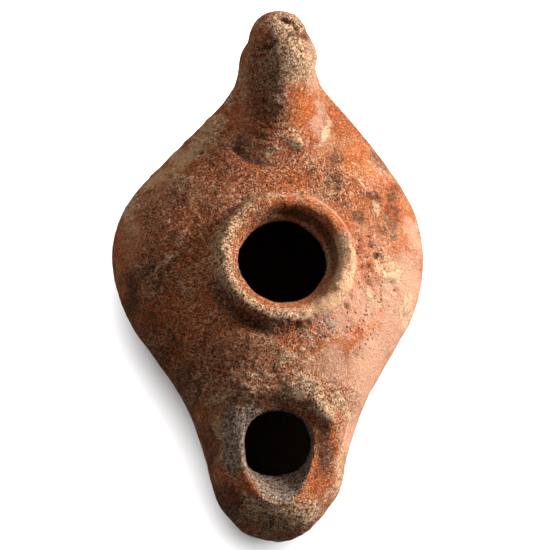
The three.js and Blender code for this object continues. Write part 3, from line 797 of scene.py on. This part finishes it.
# Each covering's share is broken up by the mottle; it starts at one share and is whole at another.
COVERINGS = {
    "pale": dict(swing=1.6, start=0.30, whole=0.85, strength=0.9),
    "slip": dict(swing=2.0, start=0.42, whole=0.85, strength=1.0),
    "crust": dict(swing=2.4, start=0.42, whole=0.82, strength=0.8),
    "stain_and_shade": dict(swing=2.2, start=0.42, whole=0.95, strength=0.75),
    "soot": dict(swing=2.2, start=0.45, whole=0.90, strength=0.85),
}
# Each ramp turns a field into a share: (field, value where it is 0, value where it is 1).
RAMPS = {
    "orange": ("broad", 0.42, 0.60), "brown": ("patchy", 0.54, 0.70), "fibre_places": ("mottle", 0.38, 0.55),
    "crust_gaps": ("speckle", 0.54, 0.34), "brown_stain_and_shade": ("speckle", 0.40, 0.60),
    "grey_soot": ("speckle", 0.36, 0.60), "dark_fibres": ("fibres", 0.46, 0.36),
    "white_flecks": ("flecks", 0.55, 0.62),
}
STRENGTHS = dict(brown=0.5, fibres_and_painted_light=0.95, white_flecks=0.8, pits=0.7)
# The strength of the dark flecks, partly dark grain and partly painted shade between the grains, on bare
# clay and on crust.
DARK_FLECK_AND_SHADE_STRENGTHS = (0.72, 0.45)
PIT_EDGE = dict(swing=0.8, low=0.3, high=0.9)
INNER_EDGE = (0.15, 0.8)
# Each row darkens and lightens the clay by (field, its dark value, its light value, swing).
FINE_SHADES = [("grit", 0.40, 0.60, 0.42), ("speckle", 0.40, 0.60, 0.4), ("fibres", 0.42, 0.60, 0.4)]
# Even the calmest clay has this much grain.
LEAST_GRAIN = dict(gaps=0.1, shades=0.08, bumps=0.15)
MEAN_GAIN = 1.05
LEAST_GAIN = 0.18
# Dark places are warmer than light ones: red keeps more of its strength there and blue less.
RED_POWER = 0.8
BLUE_POWER = 1.15
# Heights of the bumps in millimetres, for each unit of the field.
BUMPS = {"fibres": 1.8, "speckle": 0.9, "curls": 0.26, "gaps": -0.26, "grit": 0.5}
CRUST_BUMP = 0.35
PIT_BUMP = -0.4
# Roughness of the clay's dark and light specks, and how much smoother its slip is.
DULL = 0.95
WORN = 0.62
SLIP_POLISH = -0.14
SPECULAR = 0.15


class Nodes:
    """Short forms for the nodes that the clay's material is made of."""

    def __init__(self, tree):
        self.tree = tree

    def node(self, kind, settings=None, **inputs):
        made = self.tree.nodes.new(kind)
        for key, value in (settings or {}).items():
            setattr(made, key, value)
        for key, value in inputs.items():
            self.feed(made.inputs[key.replace("_", " ")], value)
        return made

    def feed(self, socket, value):
        if isinstance(value, bpy.types.NodeSocket):
            self.tree.links.new(value, socket)
        else:
            socket.default_value = value

    def share(self, name):
        return self.node("ShaderNodeAttribute", {"attribute_name": name}).outputs["Fac"]

    def math(self, operation, a, b=0.0, clamp=False):
        made = self.node("ShaderNodeMath", {"operation": operation, "use_clamp": clamp})
        self.feed(made.inputs[0], a)
        self.feed(made.inputs[1], b)
        return made.outputs[0]

    def times(self, a, b):
        return self.math("MULTIPLY", a, b)

    def total(self, first, *others):
        for other in others:
            first = self.math("ADD", first, other)
        return first

    def ramp(self, value, low, high, to_low=0.0, to_high=1.0):
        made = self.node("ShaderNodeMapRange", {"interpolation_type": "SMOOTHSTEP"}, Value=value,
                         From_Min=low, From_Max=high, To_Min=to_low, To_Max=to_high)
        return made.outputs["Result"]

    def mix(self, share, a, b, blend="MIX"):
        made = self.node("ShaderNodeMix", {"data_type": "RGBA", "blend_type": blend})
        self.feed(made.inputs["Factor"], share)
        self.feed(made.inputs[6], a)
        self.feed(made.inputs[7], b)
        return made.outputs[2]

    def ragged(self, share, grain, swing, low, high):
        """A share whose edge is broken up by a noise centred on a half."""
        shifted = self.times(grain, swing)
        return self.ramp(self.total(share, shifted, -swing / 2), low, high)


def clay_fields(nodes):
    """The fields and shares that the clay's colour and its bumps are both made of, by name."""
    place = nodes.node("ShaderNodeTexCoord").outputs["Object"]
    mm = nodes.node("ShaderNodeMapping", Vector=place, Scale=(1 / MM, 1 / MM, 1 / MM)).outputs["Vector"]
    fields = {}
    for name, (scale, detail, rough, distortion) in FIELDS.items():
        texture = nodes.node("ShaderNodeTexNoise", Vector=mm, Scale=scale, Detail=detail, Roughness=rough,
                             Distortion=distortion)
        fields[name] = texture.outputs["Fac"]
    for name, (middle, edge, core) in VEINS.items():
        away = nodes.math("ABSOLUTE", nodes.math("SUBTRACT", fields[name], middle))
        fields[name] = nodes.ramp(away, edge, core)
    for name, (field, low, high) in RAMPS.items():
        fields[name] = nodes.ramp(fields[field], low, high)
    for name, covering in COVERINGS.items():
        fields[name] = nodes.ragged(nodes.share(name), fields["mottle"], covering["swing"],
                                    covering["start"], covering["whole"])
    cells = nodes.node("ShaderNodeTexVoronoi", Vector=mm, Scale=SMALL_PITS["to_a_millimetre"])
    pits = nodes.ramp(cells.outputs["Distance"], SMALL_PITS["edge"], SMALL_PITS["floor"])
    fields["small_pits"] = nodes.times(pits, nodes.share("crumbly"))
    fields["grain"] = nodes.share("grain")
    return fields


def cover(nodes, fields, colour, name, covering_colour):
    share = nodes.times(fields[name], COVERINGS[name]["strength"])
    return nodes.mix(share, colour, covering_colour)


def bare_colour(nodes, fields):
    """Orange and red clay with brown places, pale wear with a painted highlight on the ring, red slip and
    curled light fibres that are partly painted light on the grain.
    """
    colour = nodes.mix(fields["orange"], RED_BROWN, ORANGE)
    colour = nodes.mix(nodes.times(fields["brown"], STRENGTHS["brown"]), colour, BROWN_STAIN_AND_SHADE)
    colour = cover(nodes, fields, colour, "pale", PALE_PINK)
    colour = cover(nodes, fields, colour, "slip", DEEP_SLIP)
    # Light fibres: partly pale fibres in the clay, partly painted light where the grain catches the light.
    light = nodes.times(nodes.times(fields["curls"], fields["fibre_places"]), fields["grain"])
    return nodes.mix(nodes.times(light, STRENGTHS["fibres_and_painted_light"]), colour, LIGHT_FLECK_AND_PAINTED_LIGHT)


def covered_colour(nodes, fields, colour):
    """The clay's colour under its crust, its stains and painted shade, and its soot."""
    crust_gaps = nodes.times(fields["crust_gaps"], nodes.total(fields["grain"], LEAST_GRAIN["gaps"]))
    crust_colour = nodes.mix(crust_gaps, BUFF, CRUST_GAP)
    stain_and_shade_colour = nodes.mix(fields["brown_stain_and_shade"], BLACK_STAIN_AND_SHADE, BROWN_STAIN_AND_SHADE)
    soot_colour = nodes.mix(fields["grey_soot"], SOOT_BLACK, SOOT_GREY)
    colour = cover(nodes, fields, colour, "crust", crust_colour)
    colour = cover(nodes, fields, colour, "stain_and_shade", stain_and_shade_colour)
    return cover(nodes, fields, colour, "soot", soot_colour)


def flecked_colour(nodes, fields, colour):
    """The colour with dark gaps, partly painted shade between the grains, white flecks, and painted shade in
    the pits.
    """
    # Dark gaps and fibres: partly dark grain, partly painted shade between the grains.
    dark = nodes.times(nodes.math("MAXIMUM", fields["gaps"], fields["dark_fibres"]), fields["grain"])
    dark = nodes.times(dark, nodes.ramp(fields["crust"], 0.0, 1.0, *DARK_FLECK_AND_SHADE_STRENGTHS))
    colour = nodes.mix(dark, colour, DARK_FLECK_AND_SHADE)
    white = nodes.times(fields["white_flecks"], nodes.share("flecked"))
    colour = nodes.mix(nodes.times(white, STRENGTHS["white_flecks"]), colour, WHITE_FLECK)
    # Painted shade in the pits, grooves and small pits.
    hollow = nodes.ragged(nodes.share("hollow"), fields["speckle"], **PIT_EDGE)
    pitted = nodes.math("MAXIMUM", hollow, fields["small_pits"])
    return nodes.mix(nodes.times(pitted, STRENGTHS["pits"]), colour, PIT_PAINTED_SHADE)


def shaded_colour(nodes, fields, colour):
    """The colour darkened and lightened grain by grain, and dark brown inside the lamp, painted shade as
    well as oil stain.
    """
    shades = []
    for name, dark, light, swing in FINE_SHADES:
        shades.append(nodes.ramp(fields[name], dark, light, -swing, swing))
    gain = nodes.times(nodes.total(*shades), nodes.total(fields["grain"], LEAST_GRAIN["shades"]))
    gain = nodes.math("MAXIMUM", nodes.total(gain, MEAN_GAIN), LEAST_GAIN)
    tint = nodes.node("ShaderNodeCombineColor", Red=nodes.math("POWER", gain, RED_POWER), Green=gain,
                      Blue=nodes.math("POWER", gain, BLUE_POWER)).outputs["Color"]
    colour = nodes.mix(1.0, colour, tint, "MULTIPLY")
    return nodes.mix(nodes.ramp(nodes.share("inner"), *INNER_EDGE), colour, INSIDE_SHADE_AND_OIL_BROWN)


def clay_roughness(nodes, fields):
    """Dull clay, a little smoother in its bright specks and where the slip is left."""
    worn = nodes.ramp(fields["speckle"], 0.3, 0.7, DULL, WORN)
    return nodes.math("ADD", worn, nodes.times(fields["slip"], SLIP_POLISH), clamp=True)


def clay_bumps(nodes, fields):
    """The surface's way, bumped by the finest grain, which is too fine for the mesh."""
    grains = nodes.total(*(nodes.times(fields[name], rise) for name, rise in BUMPS.items()))
    grains = nodes.times(grains, nodes.total(fields["grain"], LEAST_GRAIN["bumps"]))
    crust = nodes.times(nodes.times(fields["crust"], fields["speckle"]), CRUST_BUMP)
    pits = nodes.times(fields["small_pits"], PIT_BUMP)
    bump = nodes.node("ShaderNodeBump", Height=nodes.total(grains, crust, pits), Strength=1.0, Distance=MM)
    return bump.outputs["Normal"]


def clay_material():
    material = bpy.data.materials.new("fired_clay")
    material.use_nodes = True
    nodes = Nodes(material.node_tree)
    fields = clay_fields(nodes)
    colour = bare_colour(nodes, fields)
    colour = covered_colour(nodes, fields, colour)
    colour = flecked_colour(nodes, fields, colour)
    colour = shaded_colour(nodes, fields, colour)
    shader = material.node_tree.nodes["Principled BSDF"]
    nodes.feed(shader.inputs["Base Color"], colour)
    nodes.feed(shader.inputs["Roughness"], clay_roughness(nodes, fields))
    nodes.feed(shader.inputs["Normal"], clay_bumps(nodes, fields))
    shader.inputs["Specular IOR Level"].default_value = SPECULAR
    return material


lamp = clay_object("lamp_body_clay")
lamp.data.materials.append(clay_material())
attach(lamp, "root")
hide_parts("lamp_body")

# ---- Floor ----

FLOOR_HALF_WIDTH = 1.5
FLOOR_GREY = (0.85, 0.85, 0.85, 1)
FLOOR_ROUGHNESS = 0.9


def floor_object():
    """A pale floor that lights nothing back onto the lamp."""
    half = FLOOR_HALF_WIDTH
    mesh = bpy.data.meshes.new("floor")
    corners = [(-half, -half, 0), (half, -half, 0), (half, half, 0), (-half, half, 0)]
    mesh.from_pydata(corners, [], [(0, 1, 2, 3)])
    floor = bpy.data.objects.new("floor", mesh)
    bpy.context.scene.collection.objects.link(floor)
    pale = bpy.data.materials.new("pale_floor")
    pale.use_nodes = True
    shader = pale.node_tree.nodes["Principled BSDF"]
    shader.inputs["Base Color"].default_value = FLOOR_GREY
    shader.inputs["Roughness"].default_value = FLOOR_ROUGHNESS
    mesh.materials.append(pale)
    floor.visible_diffuse = False
    floor.visible_glossy = False
    return floor


floor = floor_object()

# ---- Camera ----

VIEW_ELEVATION = np.radians(70)
VIEW_ROLL = np.radians(7)
VIEW_DISTANCE = 0.62
VIEW_TARGET = Vector((-0.0003, -0.0012, 0.02))
LENS = 180.9


def camera_object():
    right = Vector((np.cos(VIEW_ROLL), 0, np.sin(VIEW_ROLL)))
    back = Vector((-np.sin(VIEW_ROLL) * np.sin(VIEW_ELEVATION), -np.cos(VIEW_ELEVATION),
                   np.cos(VIEW_ROLL) * np.sin(VIEW_ELEVATION)))
    up = back.cross(right)
    data = bpy.data.cameras.new("camera")
    data.lens = LENS
    camera = bpy.data.objects.new("camera", data)
    turn = Matrix((right, up, back)).transposed().to_4x4()
    camera.matrix_world = Matrix.Translation(VIEW_TARGET + back * VIEW_DISTANCE) @ turn
    bpy.context.scene.collection.objects.link(camera)
    bpy.context.scene.camera = camera


camera_object()

# ---- Light ----

LAMP_LIGHT_DISTANCE = 0.8
LAMP_LIGHT_TARGET = (0, 0, 0.02)
KEY = dict(came_from=(0.84, 0.39, 0.375), size=0.32, power=17.5, colour=(1, 0.985, 0.96))
FILL = dict(came_from=(-0.39, 0.84, 0.375), size=0.8, power=3.4, colour=(1, 0.92, 0.82))
FLOOR_SUN = dict(came_from=(0.18, 0.37, 0.91), spread=np.radians(90), strength=9.2)
WORLD_STRENGTH = 0.19


def placed_light(data, position, target):
    """Puts a light in its place, turned towards its target."""
    light = bpy.data.objects.new(data.name, data)
    light.location = position
    light.rotation_euler = (Vector(target) - Vector(position)).to_track_quat("-Z", "Y").to_euler()
    bpy.context.scene.collection.objects.link(light)
    return light


def lit_only(light, things):
    """Keeps a light's glow to the things named; anything still shades it."""
    lit = bpy.data.collections.new("lit_by_" + light.name)
    for thing in things:
        lit.objects.link(thing)
    light.light_linking.receiver_collection = lit


def lamp_light(name, came_from, size, power, colour):
    """A round soft light for the lamp alone."""
    data = bpy.data.lights.new(name, "AREA")
    data.shape = "DISK"
    data.size = size
    data.energy = power
    data.color = colour
    position = Vector(came_from).normalized() * LAMP_LIGHT_DISTANCE
    lit_only(placed_light(data, position, LAMP_LIGHT_TARGET), [lamp])


def floor_sun(came_from, spread, strength):
    """A soft sun for the floor alone, from behind and to the right."""
    data = bpy.data.lights.new("floor_sun", "SUN")
    data.angle = spread
    data.energy = strength
    lit_only(placed_light(data, Vector(came_from).normalized(), (0, 0, 0)), [floor])


lamp_light("key", **KEY)
lamp_light("fill", **FILL)
floor_sun(**FLOOR_SUN)
world = bpy.data.worlds.new("studio")
world.use_nodes = True
background = world.node_tree.nodes["Background"]
background.inputs["Color"].default_value = (1, 1, 1, 1)
background.inputs["Strength"].default_value = WORLD_STRENGTH
bpy.context.scene.world = world
bpy.context.scene.view_settings.view_transform = "Standard"
